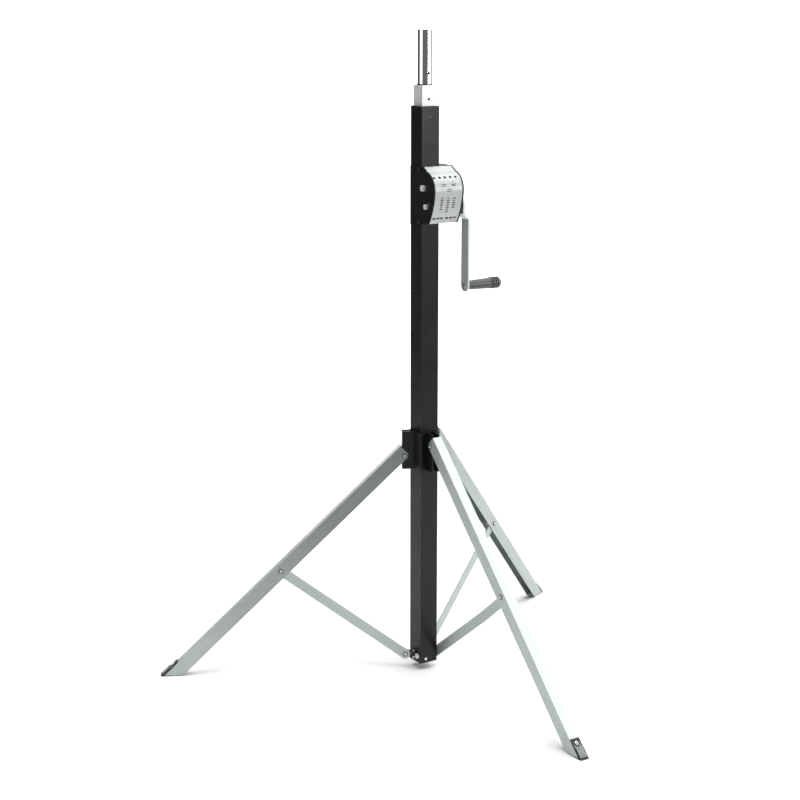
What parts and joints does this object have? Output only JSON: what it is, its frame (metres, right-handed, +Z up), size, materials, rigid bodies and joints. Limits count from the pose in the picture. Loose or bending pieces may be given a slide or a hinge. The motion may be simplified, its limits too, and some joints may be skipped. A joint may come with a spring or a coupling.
{
  "type": "crank lighting stand",
  "caption": "Telescopic lighting stand with a square mast, a geared hand winch, a spigot on top and a folding tripod base with braces.",
  "frame": {"origin": "on the floor, on the axis of the outer mast", "axes": "+Z up the mast, -Y towards the winch and the front leg, +X towards the crank"},
  "size_m": [1.2246, 0.9971, 1.625],
  "materials": {
    "black_coat": "satin powder coat",
    "black_screw": "blackened",
    "black_plastic": "matt",
    "winch_sheet": "brushed",
    "machined_steel": "machined",
    "cable_wire": "stranded",
    "bright_tube": "bright drawn",
    "spigot_chrome": "polished",
    "zinc_steel": "zinc plated",
    "pale_zinc": "zinc plated",
    "bolt_steel": "bright zinc",
    "grip_plastic": "moulded",
    "foot_rubber": "moulded"
  },
  "bodies": {
    "mast": {"outer_mast_tube": "black_coat", "top_guide_bush": "black_plastic", "sheave_pin": "black_screw", "bottom_buffer": "black_plastic", "base_screw": "bolt_steel", "winch_left_plate": "black_coat", "winch_right_plate": "black_coat", "winch_cover": "winch_sheet", "winch_brackets": "black_coat", "winch_screws": "black_screw", "winch_tie_rod": "black_coat", "guard_bolt": "machined_steel", "drum_guard": "machined_steel", "drum_axle": "machined_steel", "ratchet_wheel": "machined_steel", "lift_cable": "cable_wire", "lift_cable_drop": "cable_wire", "hub_stop_screw": "black_screw", "left_brace_bracket": "pale_zinc", "right_brace_bracket": "pale_zinc", "bracket_bolts": "bolt_steel", "front_brace_bolt": "bolt_steel"},
    "inner_mast": {"inner_mast_tube": "bright_tube", "lower_guide": "black_plastic", "cable_anchor": "machined_steel", "cable_ferrule": "machined_steel", "spigot_plug": "bright_tube", "spigot_tube": "spigot_chrome", "plug_screw": "machined_steel"},
    "drum": {"cable_drum": "machined_steel", "drum_gear": "machined_steel"},
    "crank": {"crank_shaft": "machined_steel", "crank_pinion": "machined_steel", "brake_discs": "machined_steel", "crank_arm": "zinc_steel", "crank_nut": "machined_steel", "grip_spindle": "machined_steel"},
    "grip": {"crank_grip": "grip_plastic"},
    "pawl": {"pawl": "machined_steel"},
    "sheave": {"top_sheave": "black_plastic"},
    "hub": {"leg_hub": "black_coat"},
    "left_leg": {"left_leg": "zinc_steel", "left_foot_pad": "foot_rubber", "left_foot_screw": "bolt_steel", "left_leg_bolts": "bolt_steel"},
    "left_brace": {"left_brace": "pale_zinc", "left_brace_pin": "bolt_steel"},
    "right_leg": {"right_leg": "zinc_steel", "right_foot_pad": "foot_rubber", "right_foot_screw": "bolt_steel", "right_leg_bolts": "bolt_steel"},
    "right_brace": {"right_brace": "pale_zinc", "right_brace_pin": "bolt_steel"},
    "front_leg": {"front_leg": "zinc_steel", "front_foot_pad": "foot_rubber", "front_foot_screw": "bolt_steel", "front_leg_bolts": "bolt_steel"},
    "front_brace": {"front_brace": "pale_zinc", "front_brace_pin": "bolt_steel"}
  },
  "joints": [
    {"name": "hub_slide", "type": "slide", "parent": "mast", "child": "hub", "axis": [0, 0, 1], "range_m": [0, 0.298]},
    {"name": "left_leg_fold", "type": "hinge", "parent": "hub", "child": "left_leg", "pos_m": [-0.04463, 0.02254, 0.57], "axis": [-0.4509, -0.8926, 0], "range_deg": [0, 45.75]},
    {"name": "left_brace_swing", "type": "hinge", "parent": "left_leg", "child": "left_brace", "pos_m": [-0.32763, 0.1655, 0.27351], "axis": [-0.4509, -0.8926, 0], "range_deg": [-97.62, 0]},
    {"name": "right_leg_fold", "type": "hinge", "parent": "hub", "child": "right_leg", "pos_m": [0.04463, 0.02254, 0.602], "axis": [-0.4509, 0.8926, 0], "range_deg": [0, 44.23]},
    {"name": "right_brace_swing", "type": "hinge", "parent": "right_leg", "child": "right_brace", "pos_m": [0.32426, 0.1638, 0.29292], "axis": [-0.4509, 0.8926, 0], "range_deg": [-97.95, 0]},
    {"name": "front_leg_fold", "type": "hinge", "parent": "hub", "child": "front_leg", "pos_m": [0, -0.048, 0.602], "axis": [1, 0, 0], "range_deg": [0, 44.33]},
    {"name": "front_brace_swing", "type": "hinge", "parent": "front_leg", "child": "front_brace", "pos_m": [0, -0.3576, 0.29773], "axis": [1, 0, 0], "range_deg": [-91.43, 0]},
    {"name": "crank_turn", "type": "hinge", "parent": "mast", "child": "crank", "pos_m": [0, -0.0625, 1.21138], "axis": [1, 0, 0], "range_deg": [0, 11527.9]},
    {"name": "grip_spin", "type": "hinge", "parent": "crank", "child": "grip", "pos_m": [0.13, -0.0625, 1.00538], "axis": [1, 0, 0], "continuous": true},
    {"name": "drum_spin", "type": "hinge", "parent": "mast", "child": "drum", "pos_m": [0, -0.0378, 1.249], "axis": [1, 0, 0], "range_deg": [-3730.8, 0]},
    {"name": "sheave_spin", "type": "hinge", "parent": "mast", "child": "sheave", "pos_m": [0, -0.01975, 1.418], "axis": [0, 1, 0], "range_deg": [0, 7441]},
    {"name": "mast_lift", "type": "slide", "parent": "mast", "child": "inner_mast", "axis": [0, 0, 1], "range_m": [0, 1.175], "deforming": ["lift_cable_drop"]},
    {"name": "pawl_pivot", "type": "hinge", "parent": "mast", "child": "pawl", "pos_m": [0.0455, -0.049, 1.178], "axis": [-1, 0, 0], "range_deg": [0, 12], "stiffness_Nm_per_rad": 0.05, "springref_deg": -17.19}
  ],
  "couplings": [
    {"joint": "left_leg_fold", "follows": "hub_slide", "rad_per_m": 2.6784},
    {"joint": "left_brace_swing", "follows": "hub_slide", "rad_per_m": -5.7161},
    {"joint": "right_leg_fold", "follows": "hub_slide", "rad_per_m": 2.5896},
    {"joint": "right_brace_swing", "follows": "hub_slide", "rad_per_m": -5.7354},
    {"joint": "front_leg_fold", "follows": "hub_slide", "rad_per_m": 2.5952},
    {"joint": "front_brace_swing", "follows": "hub_slide", "rad_per_m": -5.3536},
    {"joint": "drum_spin", "follows": "crank_turn", "ratio": -0.32353},
    {"joint": "sheave_spin", "follows": "crank_turn", "ratio": 0.64527},
    {"joint": "mast_lift", "follows": "crank_turn", "m_per_rad": 0.0058397}
  ]
}
